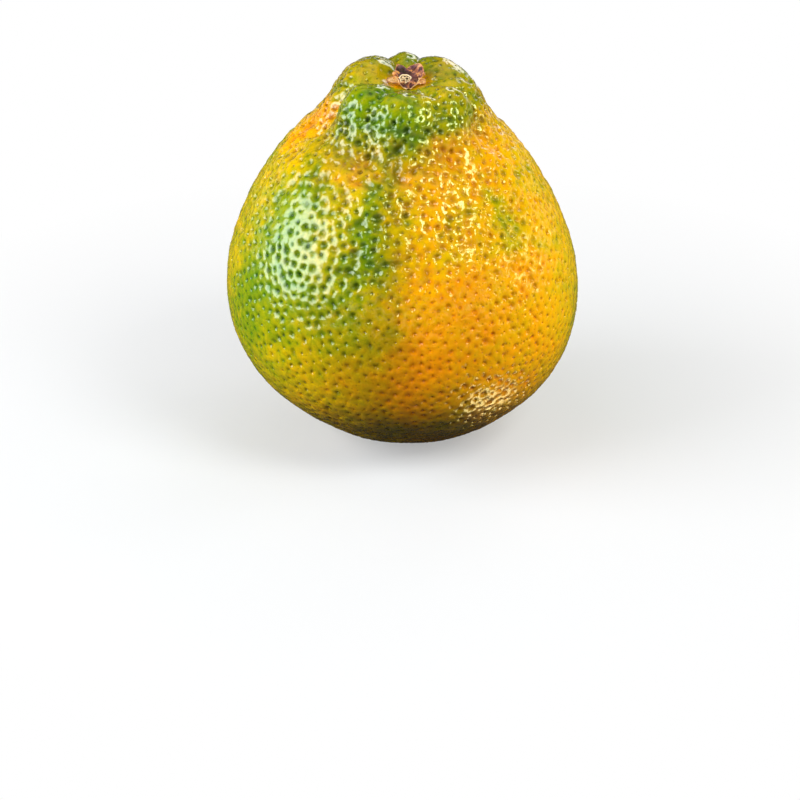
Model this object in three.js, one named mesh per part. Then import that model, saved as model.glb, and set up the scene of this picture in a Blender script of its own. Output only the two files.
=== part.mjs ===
// A tangelo of the large, necked Jamaican type: whole, uncut, standing on its blossom end.
// Millimetres, +Z up, front towards -Y. The origin is the centre of the small flat spot it rests on.
// The fruit is one solid, because rind and flesh grew as one. The dried calyx and the stub of the
// stem sit in the dimple of the crown as pieces of their own.
import * as THREE from "three";
import { mergeVertices } from "three/addons/utils/BufferGeometryUtils.js";

// ---- driving dimensions, mm and degrees -------------------------------------------------------

const REST_RADIUS = 9.5; // flat spot under the fruit
const BELLY_RADIUS = 50; // widest round, so the fruit is about 100 across
const BELLY_HEIGHT = 45;
const CREST_HEIGHT = 107.3; // top of the knob, before its lobes swell out of it
const SEAT_HEIGHT = 106.2; // level floor of the crown's dimple, under the calyx
const SEAT_RADIUS = 5.2;
const BELLY_LEAN = -1.6; // how far the belly sits to -X of the rest spot and the crown

const AROUND = 64; // facets round the fruit
const RINGS_PER_SPAN = 4; // rings between two points of the outline
const GAP = 0.3; // clearance between pieces that rest on each other

// Half outline of the fruit from the rim of the rest spot, over belly, neck and knob, to the dimple.
const OUTLINE = [
  [REST_RADIUS, 0],
  [20, 2.3],
  [32, 9.3],
  [43, 20],
  [48.5, 32],
  [BELLY_RADIUS, BELLY_HEIGHT],
  [48.2, 58],
  [43.6, 70],
  [36.4, 80.5],
  [29.4, 88.8],
  [24.4, 95.4],
  [20.8, 102],
  [15.5, CREST_HEIGHT],
  [8.5, 106.8],
  [SEAT_RADIUS, SEAT_HEIGHT],
];

// The knob is gathered into rounded lobes. Each starts at a furrow and swells to its own fullness.
const LOBES = [
  { from: 10, swell: 2.2 },
  { from: 76, swell: 2.6 },
  { from: 118, swell: 3.8 },
  { from: 190, swell: 2.1 },
  { from: 237, swell: 2.0 },
  { from: 297, swell: 2.2 },
  { from: 335, swell: 2.6 },
];
const FURROW_DEPTH = 1.6;
const LOBE_ROUNDNESS = 0.55; // under 1 gives narrow furrows between broad lobes
const LOBES_FADE_LOW = 81; // height where the furrows have run out on the shoulder
const LOBES_FULL = 97;
const LOBES_FULL_RADIUS = 12; // from here in to the seat the furrows fade again

// Broad swellings and hollows of the body: azimuth, height, spreads of both, amount outwards.
const SWELLINGS = [
  { azimuth: 205, height: 13, wide: 50, tall: 13, out: -1.0 }, // flatter lower left
  { azimuth: 320, height: 16, wide: 40, tall: 14, out: -0.5 },
  { azimuth: 180, height: 85, wide: 45, tall: 8, out: 2.1 }, // left shoulder
  { azimuth: 190, height: 95, wide: 50, tall: 4.5, out: -1.1 }, // pinch under the left of the knob
  { azimuth: 0, height: 86, wide: 45, tall: 6, out: 1.3 }, // right shoulder
  { azimuth: 0, height: 70, wide: 50, tall: 14, out: -0.7 },
  { azimuth: 274, height: 58, wide: 9, tall: 34, out: -1.0 }, // shallow groove down the front
  { azimuth: 225, height: 70, wide: 28, tall: 20, out: 0.9 },
  { azimuth: 318, height: 72, wide: 22, tall: 20, out: 0.6 },
];
const SWELLINGS_START = 18; // radius outside which the swellings act, so that the rest spot stays flat

const CALYX_RADIUS = 5.1; // tip of a sepal
const CALYX_WAIST = 3.5; // between two sepals
const CALYX_THICKNESS = 1.0;
const CALYX_EDGE = 0.5; // thickness of a sepal's tip
const CALYX_RISE = 1.1; // how far a sepal's tip lifts off the seat
const SEPALS = 5;
const SEPAL_TURN = 50; // azimuth of the first sepal
const SOCKET_RADIUS = 2.3; // shallow socket in the calyx for the stem's stub
const SOCKET_DEPTH = 0.4;
const STUB_RADIUS = 1.8;
const STUB_HEIGHT = 1.1;
const STUB_DOME = 0.25;

// ---- helpers ----------------------------------------------------------------------------------

const radians = THREE.MathUtils.degToRad;
const smoothstep = THREE.MathUtils.smoothstep;
const lerp = THREE.MathUtils.lerp;

// Smallest signed angle from b to a, degrees.
function turnBetween(a, b) {
  return ((((a - b + 180) % 360) + 360) % 360) - 180;
}

// A closed mesh from rings of points that run from the bottom centre to the top centre. Each ring is
// ordered anticlockwise seen from above, and the first and last ring are closed by a centre point.
function skinOver(rings, bottomCentre, topCentre) {
  const around = rings[0].length;
  const points = [bottomCentre, ...rings.flat(), topCentre];
  const indices = [];
  const at = (ring, step) => 1 + ring * around + (step % around);
  const last = points.length - 1;
  for (let step = 0; step < around; step++) {
    indices.push(0, at(0, step + 1), at(0, step));
    for (let ring = 0; ring < rings.length - 1; ring++) {
      const [a, b] = [at(ring, step), at(ring, step + 1)];
      const [c, d] = [at(ring + 1, step), at(ring + 1, step + 1)];
      indices.push(a, b, d, a, d, c);
    }
    indices.push(at(rings.length - 1, step), at(rings.length - 1, step + 1), last);
  }
  const geometry = new THREE.BufferGeometry().setFromPoints(points);
  geometry.setIndex(indices);
  const merged = mergeVertices(geometry);
  merged.computeVertexNormals();
  return merged;
}

function namedMesh(name, geometry, color, roughness) {
  const material = new THREE.MeshStandardMaterial({ color, roughness, metalness: 0 });
  const mesh = new THREE.Mesh(geometry, material);
  mesh.name = name;
  return mesh;
}

// ---- fruit ------------------------------------------------------------------------------------

// Lobe that holds an azimuth: 0 in its furrows to 1 along its middle, times how much it swells.
function lobeSwell(azimuth) {
  const turn = (((azimuth - LOBES[0].from) % 360) + 360) % 360;
  const starts = LOBES.map((lobe) => lobe.from - LOBES[0].from);
  const index = starts.findLastIndex((start) => start <= turn);
  const end = index + 1 < LOBES.length ? starts[index + 1] : 360;
  const across = (turn - starts[index]) / (end - starts[index]);
  return LOBES[index].swell * Math.sin(Math.PI * across) ** LOBE_ROUNDNESS - FURROW_DEPTH;
}

// How far the skin stands out from the plain outline, mm.
function swellAt(azimuth, radius, height) {
  const onKnob = smoothstep(height, LOBES_FADE_LOW, LOBES_FULL);
  const outOfDimple =
    height > LOBES_FULL ? smoothstep(radius, SEAT_RADIUS, LOBES_FULL_RADIUS) : 1;
  let out = onKnob * outOfDimple * lobeSwell(azimuth);
  const offRestSpot = height < BELLY_HEIGHT ? smoothstep(radius, REST_RADIUS, SWELLINGS_START) : 1;
  for (const s of SWELLINGS) {
    const across = turnBetween(azimuth, s.azimuth) / s.wide;
    const up = (height - s.height) / s.tall;
    out += offRestSpot * s.out * Math.exp(-(across * across + up * up) / 2);
  }
  return out;
}

function fruitGeometry() {
  const outline = new THREE.SplineCurve(OUTLINE.map(([r, z]) => new THREE.Vector2(r, z)));
  const ringCount = (OUTLINE.length - 1) * RINGS_PER_SPAN;
  const rings = [];
  for (let i = 0; i <= ringCount; i++) {
    const t = i / ringCount;
    const place = outline.getPoint(t);
    const along = outline.getTangent(t);
    const isRim = i === 0 || i === ringCount;
    const ring = [];
    for (let step = 0; step < AROUND; step++) {
      const azimuth = (step * 360) / AROUND;
      const out = isRim ? 0 : swellAt(azimuth, place.x, place.y);
      const radius = place.x + along.y * out;
      const height = place.y - along.x * out;
      const lean = BELLY_LEAN * Math.sin((Math.PI * place.y) / CREST_HEIGHT);
      ring.push(
        new THREE.Vector3(
          radius * Math.cos(radians(azimuth)) + (isRim ? 0 : lean),
          radius * Math.sin(radians(azimuth)),
          height,
        ),
      );
    }
    rings.push(ring);
  }
  return skinOver(rings, new THREE.Vector3(0, 0, 0), new THREE.Vector3(0, 0, SEAT_HEIGHT));
}

// ---- calyx and stem stub ----------------------------------------------------------------------

// Dried calyx: a thin saucer with five sepals that lift at their tips, and a socket in its middle.
function calyxGeometry() {
  const around = 50;
  const base = SEAT_HEIGHT + GAP;
  const ringAt = (fraction, heightOf) =>
    Array.from({ length: around }, (_, step) => {
      const azimuth = (step * 360) / around;
      const sepal = (1 + Math.cos(radians(SEPALS * (azimuth - SEPAL_TURN)))) / 2;
      const radius = fraction * lerp(CALYX_WAIST, CALYX_RADIUS, sepal);
      return new THREE.Vector3(
        radius * Math.cos(radians(azimuth)),
        radius * Math.sin(radians(azimuth)),
        heightOf(fraction),
      );
    });
  const socketEdge = SOCKET_RADIUS / CALYX_WAIST;
  const lift = (fraction) => base + CALYX_RISE * fraction ** 3;
  const top = (fraction) => lift(fraction) + lerp(CALYX_THICKNESS, CALYX_EDGE, fraction);
  const floor = () => base + CALYX_THICKNESS - SOCKET_DEPTH;
  const under = [0.3, 0.6, 0.85, 1].map((fraction) => ringAt(fraction, lift));
  const over = [1, 0.85, socketEdge + 0.05].map((fraction) => ringAt(fraction, top));
  const socket = circle(SOCKET_RADIUS, floor(), around);
  return skinOver(
    [...under, ...over, socket],
    new THREE.Vector3(0, 0, base),
    new THREE.Vector3(0, 0, floor()),
  );
}

function circle(radius, height, around) {
  return Array.from({ length: around }, (_, step) => {
    const angle = (step * 2 * Math.PI) / around;
    return new THREE.Vector3(radius * Math.cos(angle), radius * Math.sin(angle), height);
  });
}

// Stub of the stem, parted at the abscission scar: a short woody plug with a slightly domed end.
function stubGeometry() {
  const around = 24;
  const bottom = SEAT_HEIGHT + GAP + CALYX_THICKNESS - SOCKET_DEPTH + GAP;
  const rings = [
    circle(STUB_RADIUS, bottom, around),
    circle(STUB_RADIUS, bottom + STUB_HEIGHT - STUB_DOME, around),
    circle(STUB_RADIUS * 0.8, bottom + STUB_HEIGHT, around),
  ];
  return skinOver(
    rings,
    new THREE.Vector3(0, 0, bottom),
    new THREE.Vector3(0, 0, bottom + STUB_HEIGHT),
  );
}

// ---- assembly ---------------------------------------------------------------------------------

const tangelo = new THREE.Group();
tangelo.add(namedMesh("fruit", fruitGeometry(), 0xc9a616, 0.3));
tangelo.add(namedMesh("calyx", calyxGeometry(), 0x6b3a24, 0.8));
tangelo.add(namedMesh("stem_stub", stubGeometry(), 0xd8bf93, 0.8));

export default tangelo;
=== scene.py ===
import math

import bpy
import numpy as np
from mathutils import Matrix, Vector, noise
from mathutils.geometry import delaunay_2d_cdt
from mathutils.kdtree import KDTree


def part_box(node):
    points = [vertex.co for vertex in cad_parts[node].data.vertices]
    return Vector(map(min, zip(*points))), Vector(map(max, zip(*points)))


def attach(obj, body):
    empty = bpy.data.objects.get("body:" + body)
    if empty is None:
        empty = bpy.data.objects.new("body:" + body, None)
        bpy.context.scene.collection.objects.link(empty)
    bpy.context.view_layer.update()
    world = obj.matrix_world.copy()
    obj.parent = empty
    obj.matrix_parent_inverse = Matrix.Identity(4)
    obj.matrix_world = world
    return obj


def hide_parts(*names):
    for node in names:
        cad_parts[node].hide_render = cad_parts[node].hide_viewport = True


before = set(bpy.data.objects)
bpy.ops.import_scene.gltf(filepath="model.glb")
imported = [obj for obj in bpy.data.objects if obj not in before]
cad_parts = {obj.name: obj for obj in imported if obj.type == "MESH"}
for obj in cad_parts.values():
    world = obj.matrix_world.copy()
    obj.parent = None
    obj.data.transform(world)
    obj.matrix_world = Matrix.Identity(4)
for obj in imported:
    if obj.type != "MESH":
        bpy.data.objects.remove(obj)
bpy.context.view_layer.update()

MM = 0.001
rng = np.random.default_rng(20)


# ---- sizes taken from the frame ----------------------------------------------

CALYX_BASE = (Vector(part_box("calyx")[0]) / MM).z
GAP = 0.3  # clearance between the crown's seat and the calyx
SEAT_HEIGHT = CALYX_BASE - GAP
SEAT_RADIUS = 5.2  # the flat seat of the calyx, at the bottom of the crown's dimple
REST_RADIUS = 9.5  # the flat spot on the blossom end
BELLY_RADIUS = 50
BELLY_HEIGHT = 45
CREST_HEIGHT = 107.3
BELLY_LEAN = -1.6  # the belly sits this far to -X of the rest spot and the crown

# Half outline from the rest spot over belly, neck and knob to the dimple: radius, height.
OUTLINE = [
    (REST_RADIUS, 0),
    (20, 2.3),
    (32, 9.3),
    (43, 20),
    (48.5, 32),
    (BELLY_RADIUS, BELLY_HEIGHT),
    (48.2, 58),
    (43.6, 70),
    (36.4, 80.5),
    (29.4, 88.8),
    (24.4, 95.4),
    (20.8, 102),
    (15.5, CREST_HEIGHT),
    (8.5, 106.8),
    (SEAT_RADIUS, SEAT_HEIGHT),
]

# The knob is gathered into rounded lobes: azimuth and depth of each furrow, fullness of the lobe
# after it.
LOBES = [
    (10, 1.6, 2.2),
    (74, 0.5, 1.9),
    (109, 0.7, 3.4),
    (190, 1.6, 2.1),
    (237, 1.6, 2.0),
    (297, 1.6, 2.2),
    (335, 1.6, 1.8),
]
LOBES_FROM, LOBES_FULL = 81, 97  # heights between which the lobes rise out of the neck
LOBES_END = 10.5  # radius inside which they sink into the dimple
FURROW_SWING = 5  # how far the furrows wander to each side, in degrees

# Broad swellings and hollows: azimuth, height, width in degrees, height in mm, amount outwards in mm.
SWELLINGS = [
    (205, 13, 50, 13, -1.0),
    (320, 16, 40, 14, -0.5),
    (180, 85, 45, 8, 2.1),
    (190, 95, 50, 4.5, -1.1),
    (0, 86, 45, 6, 1.3),
    (0, 70, 50, 14, -0.7),
    (274, 58, 9, 34, -1.0),
    (225, 70, 28, 20, 0.9),
    (318, 72, 22, 20, 0.6),
    (245, 93.5, 45, 3.0, -0.9),
    (178, 102, 16, 3.5, -1.3),
]


# ---- small helpers -----------------------------------------------------------

SPAN_STEPS = 40  # points to each span of the outline


def smoothstep(low, high, value):
    t = np.clip((value - low) / (high - low), 0, 1)
    return t * t * (3 - 2 * t)


def turn_between(a, b):
    return (a - b + 180) % 360 - 180


def patch(azimuth, height, spot):
    """A soft oval spot on the skin: 1 at its centre, fading with its two spreads."""
    across = turn_between(azimuth, spot[0]) / spot[2]
    up = (height - spot[1]) / spot[3]
    return np.exp(-(across**2 + up**2) / 2)


def wander(points, size, seed):
    """Smooth noise from -1 to 1 at each point, with lumps about `size` mm across."""
    shift = Vector((seed * 13.7, seed * 5.1, seed * 9.3))
    return np.array([noise.noise(Vector(p) / size + shift) for p in points])


def wander_about(points, size, seeds):
    """The same noise with three parts, one for each seed, to shift points by."""
    return np.column_stack([wander(points, size, seed) for seed in seeds])


def tree_of(points):
    """A tree that finds the nearest of the points."""
    tree = KDTree(len(points))
    for index, point in enumerate(points):
        tree.insert(point, index)
    tree.balance()
    return tree


def spline(points):
    """Points along a Catmull-Rom curve, like the one the solid fruit was turned from."""
    p = np.array([points[0], *points, points[-1]], float)
    t = np.linspace(0, 1, SPAN_STEPS, endpoint=False)[:, None]
    spans = []
    for p0, p1, p2, p3 in zip(p, p[1:], p[2:], p[3:]):
        v0, v1 = (p2 - p0) / 2, (p3 - p1) / 2
        spans.append(
            (2 * p1 - 2 * p2 + v0 + v1) * t**3 + (3 * p2 - 3 * p1 - 2 * v0 - v1) * t**2 + v0 * t + p1
        )
    return np.vstack([*spans, p[-1:]])


def new_object(name, data):
    made = bpy.data.objects.new(name, data)
    bpy.context.collection.objects.link(made)
    return made


def new_piece(name, points_mm, faces, smooth=True):
    mesh = bpy.data.meshes.new(name)
    mesh.from_pydata((np.asarray(points_mm) * MM).tolist(), [], faces)
    mesh.update()
    if smooth:
        mesh.shade_smooth()
    return new_object(name, mesh)


def store(mesh, name, values):
    mesh.attributes.new(name, "FLOAT", "POINT").data.foreach_set("value", np.asarray(values, np.float32))


# ---- the fruit's plain form --------------------------------------------------

SEAT_STEPS = 20
EASING = 6  # points on each side over which the corners where the flat spots begin are eased

curve = np.vstack([
    np.column_stack([np.linspace(0, REST_RADIUS, SPAN_STEPS, endpoint=False), np.zeros(SPAN_STEPS)]),
    spline(OUTLINE),
    np.column_stack([np.linspace(SEAT_RADIUS, 0, SEAT_STEPS + 1)[1:], np.full(SEAT_STEPS, SEAT_HEIGHT)]),
])
steps = np.hypot(*np.diff(curve, axis=0).T)
ALONG = np.concatenate([[0], np.cumsum(steps)])  # distance from the bottom's centre along the skin
RADII, HEIGHTS = curve.T
slope = np.gradient(curve, ALONG, axis=0)
window = 2 * EASING + 1
for axis in range(2):
    padded = np.pad(slope[:, axis], EASING, "edge")
    slope[:, axis] = np.convolve(padded, np.ones(window) / window, "valid")
OUT_R, OUT_Z = (slope[:, ::-1] * (1, -1) / np.hypot(*slope.T)[:, None]).T
LENGTH = ALONG[-1]
# The conformal map of the skin to a plane: its rings of equal height become rings of radius exp(REACH).
middle = (RADII[1:] + RADII[:-1]) / 2
growth = np.where(middle > 0.5, steps / middle, 0)
REACH = np.concatenate([[0], np.cumsum(growth)])
REACH -= np.interp(1.0, ALONG, REACH)  # the ring 1 mm from the bottom's centre keeps its radius


def lobe_swell(azimuth):
    """How far the knob's lobes stand out, from deep in a furrow to full along a lobe's middle."""
    starts, depth, fullness = np.array(LOBES, float).T
    turn = (azimuth - starts[0]) % 360
    edges = np.append(starts - starts[0], 360)
    index = np.clip(np.searchsorted(edges, turn, side="right") - 1, 0, len(LOBES) - 1)
    across = (turn - edges[index]) / (edges[index + 1] - edges[index])
    soft = 0.1  # rounds the bottom of the furrow
    rise = (np.sqrt(np.sin(np.pi * across) ** 2 + soft**2) - soft) / (math.sqrt(1 + soft**2) - soft)
    furrow = depth[index] + (np.roll(depth, -1) - depth)[index] * across
    return fullness[index] * rise**0.6 - furrow


def form_at(along, azimuth):
    """Points of the plain form, the way out of the skin there, and the height on the outline."""
    radius = np.interp(along, ALONG, RADII)
    height = np.interp(along, ALONG, HEIGHTS)
    out_r = np.interp(along, ALONG, OUT_R)
    out_z = np.interp(along, ALONG, OUT_Z)
    in_crown = np.where(height > LOBES_FULL, smoothstep(SEAT_RADIUS + 0.6, LOBES_END, radius), 1)
    knob = smoothstep(LOBES_FROM, LOBES_FULL, height) * in_crown
    meander = FURROW_SWING * np.sin(height / 3.1 + azimuth / 40)
    swell = knob * lobe_swell(azimuth + meander * smoothstep(6, 16, radius))
    off_rest = np.where(height < BELLY_HEIGHT, smoothstep(REST_RADIUS, 18, radius), 1)
    for spot in SWELLINGS:
        swell += off_rest * spot[4] * patch(azimuth, height, spot)
    turn = np.radians(azimuth)
    lean = BELLY_LEAN * np.sin(np.pi * height / CREST_HEIGHT)
    ring = radius + out_r * swell
    points = np.column_stack([ring * np.cos(turn) + lean, ring * np.sin(turn), height + out_z * swell])
    out = np.column_stack([out_r * np.cos(turn), out_r * np.sin(turn), out_z])
    return points, out, height, radius


# ---- oil glands --------------------------------------------------------------

GLAND_COUNT = 3880
GLAND_SPACING = 3.1  # mean distance between glands on the belly
SMALL_SHARE = 0.26  # one gland in four is small and shallow
WOBBLE = 0.3  # how far a gland strays from its even place, as a share of the spacing
PUSH_ROUNDS, PUSH_FORCE, PUSH_REACH = 4, 0.32, 1.02  # the reach is in spacings
NEIGHBOURS = 6  # glands that can push each one
BARE_RADIUS = SEAT_RADIUS - 2  # the skin under the calyx has no glands within this radius
SHORTEST_TURN = 1.5  # radius below which sideways moves grow no longer in degrees, mm
INNER_RING, OUTER_RING = 0.42, 0.98  # radii of the mesh rings round each gland, mm

# Places where the skin differs: azimuth, height, width in degrees, height in mm.
FLAT_FIELD = (225, 69, 18, 14)  # the skin between the glands is flattest here and the pits crispest
FOOT_FIELD = (303, 23, 11, 7)  # a flat place low on the right cheek, closely pitted
SEAM_FIELD = (253, 74, 13, 13)  # deeper and darker pits, well waxed, between the two cheeks
FINE_NECK = (308, 95, 13, 6)  # finer pebbles on the right of the neck
DEEP_CHEEK = (298, 30, 17, 12)  # deeper pits above the flat place on the right cheek
DEEP_SHOULDER = (270, 86, 12, 7)  # and on the shoulder below the knob
WAXED_SHOULDER = (284, 84, 13, 7)  # thick wax on the right shoulder


def scatter_glands():
    """Gland centres, evenly but not regularly spaced, and closer on the knob and near the bottom."""
    width = 1 - 0.14 * smoothstep(84, 96, HEIGHTS) - 0.1 * smoothstep(30, 5, HEIGHTS)
    share = np.concatenate([[0], np.cumsum(steps * middle / ((width[1:] + width[:-1]) / 2) ** 2)])
    seat = slice(None, -SEAT_STEPS, -1)  # from its middle outwards
    open_skin = np.interp(BARE_RADIUS, RADII[seat], share[seat])
    order = (np.arange(GLAND_COUNT) + 0.5) / GLAND_COUNT
    along = np.interp(order * open_skin, share, ALONG)
    azimuth = np.degrees(np.arange(GLAND_COUNT) * math.pi * (3 - math.sqrt(5))) % 360
    spacing = GLAND_SPACING * np.interp(along, ALONG, width)
    spacing *= 1 + 0.14 * patch(azimuth, np.interp(along, ALONG, HEIGHTS), FLAT_FIELD)
    along = along + rng.normal(0, WOBBLE, GLAND_COUNT) * spacing
    radius = np.maximum(np.interp(along, ALONG, RADII), SHORTEST_TURN)
    azimuth = azimuth + np.degrees(rng.normal(0, WOBBLE, GLAND_COUNT) * spacing / radius)
    for _ in range(PUSH_ROUNDS):  # neighbours that sit too close push each other away
        along, azimuth = push_apart(along, azimuth, spacing)
    return along, azimuth % 360


def push_apart(along, azimuth, spacing):
    """One round of pushing, with the moves measured along the skin upwards and sideways."""
    points = form_at(along, azimuth)[0]
    tree = tree_of(points)
    turn = np.radians(azimuth)
    eastward = np.column_stack([-np.sin(turn), np.cos(turn), np.zeros(len(turn))])
    step = 0.2
    ahead = form_at(np.minimum(along + step, LENGTH), azimuth)[0]
    upward = (ahead - points) / step
    move = np.zeros((len(points), 2))
    for index, point in enumerate(points):
        for _, near, distance in tree.find_n(point, NEIGHBOURS + 1)[1:]:
            reach = PUSH_REACH * spacing[index]
            if distance < reach:
                away = (points[index] - points[near]) / max(distance, 0.05)
                force = PUSH_FORCE * (reach - distance)
                move[index] += force * np.array([away @ upward[index], away @ eastward[index]])
    along = np.clip(along + move[:, 0], 0.3, LENGTH - BARE_RADIUS)
    radius = np.maximum(np.interp(along, ALONG, RADII), SHORTEST_TURN)
    return along, azimuth + np.degrees(move[:, 1] / radius)


def to_plane(along, azimuth):
    """Places on the skin as complex numbers on the plane of the conformal map."""
    return np.exp(np.interp(along, ALONG, REACH) + 1j * np.radians(azimuth))


def from_plane(place):
    return np.interp(np.log(np.abs(place)), REACH, ALONG), np.degrees(np.angle(place)) % 360


def between(a, b, fraction):
    """Places between two of the plane's, mixed in whichever chart keeps them finite and even."""
    far = (np.abs(a) + np.abs(b)) / 2 > PLANE_MIDDLE
    direct = a + (b - a) * fraction
    inverse = 1 / (1 / a + (1 / b - 1 / a) * fraction)
    return np.where(far, inverse, direct)


gland_along, gland_azimuth = scatter_glands()
SEAT_RING, SEAT_RING_RADIUS = 14, 1.6  # points and radius of the ring that closes the skin
ring_azimuth = np.arange(SEAT_RING) * 360 / SEAT_RING
corner_along = np.append(gland_along, np.full(SEAT_RING, LENGTH - SEAT_RING_RADIUS))
corner_azimuth = np.append(gland_azimuth, ring_azimuth)
corner_height = np.interp(corner_along, ALONG, HEIGHTS)
corner_place = to_plane(corner_along, corner_azimuth)
PLANE_MIDDLE = abs(to_plane(np.array([LENGTH / 2]), np.array([0.0]))[0])

flat = [Vector((place.real, place.imag)) for place in corner_place]
triangles = np.array(delaunay_2d_cdt(flat, [], [], 0, 1e-9)[2])
sides = corner_place[triangles]
turned = np.imag((sides[:, 1] - sides[:, 0]) * np.conj(sides[:, 2] - sides[:, 0])) < 0
triangles[turned] = triangles[turned][:, ::-1]


def coarseness(azimuth, height):
    """0 where the glands are fine and the skin between them flat, 1 where it is deeply pebbled."""
    return (
        smoothstep(42, 80, height)
        * (1 - 0.95 * patch(azimuth, height, FLAT_FIELD))
        * (1 - 0.6 * patch(azimuth, height, FINE_NECK))
        * (1 - 0.6 * smoothstep(99, 105, height))
    )


def flatness(azimuth, height):
    return np.maximum(patch(azimuth, height, FLAT_FIELD), patch(azimuth, height, FOOT_FIELD))


# Each gland's own size, depth and darkness. The ring under the calyx has none.
corner_count = len(corner_along)
corner_coarse = coarseness(corner_azimuth, corner_height)
corner_flat = flatness(corner_azimuth, corner_height)
corner_knob = smoothstep(90, 98, corner_height)
corner_seam = patch(corner_azimuth, corner_height, SEAM_FIELD)
small_gland = rng.random(corner_count) < SMALL_SHARE
gland_size = np.clip(rng.normal(1.05, 0.18, corner_count), 0.7, 1.5) * np.where(small_gland, 0.66, 1)
gland_size *= (0.86 + 0.34 * corner_coarse) * (1 + 0.3 * corner_flat) * (1 + 0.2 * corner_seam)
gland_depth = np.clip(rng.normal(1.05, 0.3, corner_count), 0.4, 1.8) * np.where(small_gland, 0.55, 1)
gland_depth *= (0.6 + 0.3 * corner_coarse) * (1 + 0.35 * corner_flat) * (1 + 0.6 * corner_knob)
for field, more in ((DEEP_CHEEK, 0.35), (SEAM_FIELD, 0.5), (DEEP_SHOULDER, 0.4)):
    gland_depth *= 1 + more * patch(corner_azimuth, corner_height, field)
gland_darkness = np.clip(rng.normal(0.62, 0.22, corner_count), 0.15, 1.0)
gland_darkness *= 1 - 0.2 * corner_coarse * (1 - corner_knob)
gland_darkness *= (1 + 0.3 * corner_flat) * (1 + 0.35 * corner_seam)
gland_depth[GLAND_COUNT:] = 0
gland_darkness[GLAND_COUNT:] = 0
gland_axis = rng.normal(0, 1, (corner_count, 3))  # each pit is drawn out a little, in its own direction
gland_axis /= np.linalg.norm(gland_axis, axis=1)[:, None]
gland_stretch = rng.uniform(0.0, 0.55, corner_count)


# ---- skin mesh ---------------------------------------------------------------
# Every triangle of three glands is cut in 25, more finely close to the glands.

CUTS = 5  # along each edge
FACE_MIDDLE = 0.22  # how far the vertex beside an edge's middle lies towards the opposite gland


def refine(triangles):
    """Vertices as places on the plane, their up to three glands, and the small triangles."""
    apart = form_at(corner_along, corner_azimuth)[0]
    pairs = np.sort(np.vstack([triangles[:, [0, 1]], triangles[:, [1, 2]], triangles[:, [2, 0]]]), axis=1)
    pairs, which, uses = np.unique(pairs, axis=0, return_inverse=True, return_counts=True)
    which = which.reshape(3, -1).T  # the three edges of each triangle
    length = np.linalg.norm(apart[pairs[:, 0]] - apart[pairs[:, 1]], axis=1)
    # The two rings round each gland, as shares of an edge, kept apart where the glands are close.
    near, wide = (
        [np.minimum(ring * gland_size[pairs[:, end]] / length, most) for end in range(2)]
        for ring, most in ((INNER_RING, 0.2), (OUTER_RING, 0.4))
    )
    places, owners = [corner_place], [np.arange(corner_count)[:, None].repeat(3, 1)]
    edge_ids = []
    for fraction in (near[0], wide[0], 1 - wide[1], 1 - near[1]):
        edge_ids.append(sum(map(len, places)) + np.arange(len(pairs)))
        places.append(between(corner_place[pairs[:, 0]], corner_place[pairs[:, 1]], fraction))
        owners.append(pairs[:, [0, 1, 1]])
    edge_ids = np.array(edge_ids)

    # The vertices of each cut triangle, by their steps towards its three glands, which add up to CUTS.
    ids = {}
    for corner in range(3):
        nxt = (corner + 1) % 3
        ids[tuple(CUTS * (axis == corner) for axis in range(3))] = triangles[:, corner]
        forward = triangles[:, corner] == pairs[which[:, corner], 0]
        for step in range(1, CUTS):
            key = [0, 0, 0]
            key[corner], key[nxt] = CUTS - step, step
            ids[tuple(key)] = np.where(
                forward, edge_ids[step - 1, which[:, corner]], edge_ids[CUTS - 1 - step, which[:, corner]]
            )
    for corner in range(3):  # one vertex beside each gland, and one near the middle of each edge
        first, second, third = np.roll([0, 1, 2], -corner)
        p, q, r = (corner_place[triangles[:, k]] for k in (first, second, third))
        opposite = between(q, r, 0.5)
        a, b, c = (apart[triangles[:, k]] for k in (first, second, third))
        span = np.linalg.norm(a - (b + c) / 2, axis=1)
        fraction = np.minimum(OUTER_RING * gland_size[triangles[:, first]] / span, 0.5)
        beside_gland = [1, 1, 1]
        beside_gland[first] = 3
        near_edge = [2, 2, 2]
        near_edge[third] = 1
        for key, new_places in (
            (beside_gland, between(p, opposite, fraction)),
            (near_edge, between(between(p, q, 0.5), r, FACE_MIDDLE)),
        ):
            ids[tuple(key)] = sum(map(len, places)) + np.arange(len(triangles))
            places.append(new_places)
            owners.append(triangles)

    small = []
    for i in range(CUTS):
        for j in range(CUTS - i):
            k = CUTS - 1 - i - j
            small.append([ids[(i + 1, j, k)], ids[(i, j + 1, k)], ids[(i, j, k + 1)]])
            if k >= 1:
                small.append([ids[(i, j + 1, k)], ids[(i + 1, j, k)], ids[(i + 1, j + 1, k - 1)]])
    small = np.array(small).transpose(0, 2, 1).reshape(-1, 3)

    # The rim under the calyx is closed by a fan to the middle of the seat.
    centre = sum(map(len, places))
    fan = []
    for edge in np.flatnonzero(uses == 1):
        chain = [pairs[edge, 0], *edge_ids[:, edge], pairs[edge, 1]]
        fan += [(one, other, centre) for one, other in zip(chain, chain[1:])]
    return np.concatenate(places), np.vstack(owners), small, np.array(fan), centre


place, owner, small, fan, centre = refine(triangles)


# ---- relief of the skin ------------------------------------------------------

PIT_DEPTH = 0.6
PIT_SPREAD = 0.85  # how far from its gland a pit fades into the pillows round it, mm
WARP = 0.16  # how far the pits' outlines stray from ovals, mm
FAR_OFF = 9.0  # stands for the distance to a gland where there is none, mm
SCAR_RADIUS = 1.7  # blossom-end scar in the middle of the rest spot
SCAR_SINK, SCAR_SLOPE = 0.5, 3.2  # its depth, and the radius over which it rises
BOTTOM_HEIGHT = 20


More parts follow.
